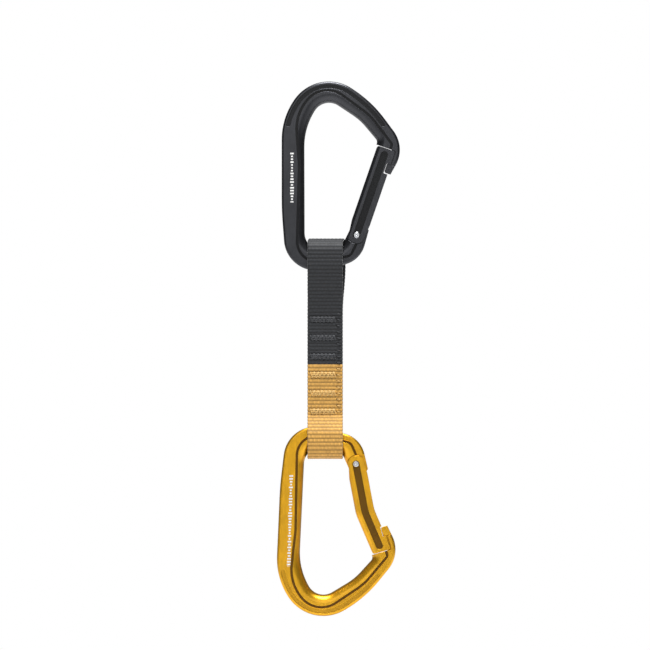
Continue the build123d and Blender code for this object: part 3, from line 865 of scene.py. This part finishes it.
class QUICKDRAW_OT_tacks(bpy.types.Operator):
    """Sew the six bar tacks"""

    bl_idname = "quickdraw.tacks"
    bl_label = "Bar Tacks"

    def execute(self, context):
        settings = context.scene.quickdraw_sling
        materials = {
            "black_thread": sewing_thread("bonded_polyester_thread_black", settings.black_thread),
            "yellow_thread": sewing_thread("bonded_polyester_thread_yellow",
                                           settings.yellow_thread),
        }
        change = colour_change_z()
        for node in TACK_NODES:
            thread = tack_threads(node)
            slot = "black_thread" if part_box(node)[0].z > change else "yellow_thread"
            thread.data.materials.append(materials[slot])
            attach(thread, "sling")
            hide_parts(node)
        return {"FINISHED"}


class QUICKDRAW_OT_studio(bpy.types.Operator):
    """Set up the floor, the soft lights and the camera"""

    bl_idname = "quickdraw.studio"
    bl_label = "Studio"

    def execute(self, context):
        settings = context.scene.quickdraw_studio
        scene = context.scene
        middle = Vector((settings.view_x, 0, settings.view_z))

        camera = bpy.data.objects.new("camera", bpy.data.cameras.new("camera"))
        context.collection.objects.link(camera)
        camera.data.type = "ORTHO"
        camera.data.ortho_scale = settings.view_width
        camera.location = middle + Vector((0, -CAMERA_DISTANCE, 0))
        camera.rotation_euler = (math.pi / 2, 0, 0)
        scene.camera = camera

        for name, place, size, power in (
                ("overhead_softbox", (0.05, -0.2, 0.72), 0.5, settings.key_power),
                ("front_softbox", (-0.1, -1.3, 0.35), 0.9, settings.fill_power)):
            lamp = bpy.data.lights.new(name, "AREA")
            lamp.size = size
            lamp.energy = power
            light = bpy.data.objects.new(name, lamp)
            context.collection.objects.link(light)
            light.location = place
            light.rotation_euler = (middle - Vector(place)).to_track_quat("-Z", "Y").to_euler()

        # a matt white-painted floor, a little under the object
        deselect()
        bpy.ops.mesh.primitive_grid_add(x_subdivisions=2, y_subdivisions=2, size=FLOOR_SIZE)
        floor = context.object
        floor.name = "floor"
        settle(floor, Matrix.Translation((0, 0, CAD_BOX[0].z - FLOOR_DROP)))
        material, tree, shader = new_material("matt_white_paint")
        place = add(tree, "ShaderNodeTexCoord").outputs["Object"]
        mottle = add(tree, "ShaderNodeTexNoise", {"Vector": place, "Scale": 4.0, "Detail": 2.0})
        tone = add(tree, "ShaderNodeMapRange", {0: mottle.outputs["Fac"], 3: 0.85, 4: 0.88})
        tree.links.new(tone.outputs[0], shader.inputs["Base Color"])
        shader.inputs["Roughness"].default_value = 0.9
        floor.data.materials.append(material)

        # the camera sees a white backdrop, and the object a dimmer room
        world = bpy.data.worlds.new("studio")
        scene.world = world
        world.use_nodes = True
        tree = world.node_tree
        background = tree.nodes["Background"]
        path = add(tree, "ShaderNodeLightPath")
        strength = add(tree, "ShaderNodeMapRange",
                       {0: path.outputs["Is Camera Ray"], 3: settings.surround, 4: 1.0})
        tree.links.new(strength.outputs[0], background.inputs["Strength"])
        background.inputs["Color"].default_value = (1.0, 1.0, 1.0, 1.0)
        scene.view_settings.view_transform = "Standard"
        return {"FINISHED"}


OPERATORS = (
    QUICKDRAW_OT_metal,
    QUICKDRAW_OT_steel,
    QUICKDRAW_OT_keeper,
    QUICKDRAW_OT_loops,
    QUICKDRAW_OT_strap,
    QUICKDRAW_OT_tacks,
    QUICKDRAW_OT_studio,
)


class QUICKDRAW_PT_sidebar(bpy.types.Panel):
    """Buttons and settings of the quickdraw"""

    bl_label = "Quickdraw"
    bl_idname = "QUICKDRAW_PT_sidebar"
    bl_space_type = "VIEW_3D"
    bl_region_type = "UI"
    bl_category = "Quickdraw"

    def draw(self, context):
        layout = self.layout
        for operator in OPERATORS:
            layout.operator(operator.bl_idname)
        for group in (context.scene.quickdraw_metal, context.scene.quickdraw_sling,
                      context.scene.quickdraw_studio):
            box = layout.box()
            for name in group.__annotations__:
                box.prop(group, name)


CLASSES = (MetalSettings, SlingSettings, StudioSettings, *OPERATORS, QUICKDRAW_PT_sidebar)


def register():
    for cls in CLASSES:
        bpy.utils.register_class(cls)
    bpy.types.Scene.quickdraw_metal = bpy.props.PointerProperty(type=MetalSettings)
    bpy.types.Scene.quickdraw_sling = bpy.props.PointerProperty(type=SlingSettings)
    bpy.types.Scene.quickdraw_studio = bpy.props.PointerProperty(type=StudioSettings)


def unregister():
    del bpy.types.Scene.quickdraw_metal
    del bpy.types.Scene.quickdraw_sling
    del bpy.types.Scene.quickdraw_studio
    for cls in reversed(CLASSES):
        bpy.utils.unregister_class(cls)


def main():
    register()
    bpy.ops.quickdraw.metal()
    bpy.ops.quickdraw.steel()
    bpy.ops.quickdraw.keeper()
    bpy.ops.quickdraw.loops()
    bpy.ops.quickdraw.strap()
    bpy.ops.quickdraw.tacks()
    bpy.ops.quickdraw.studio()


if __name__ == "__main__":
    main()
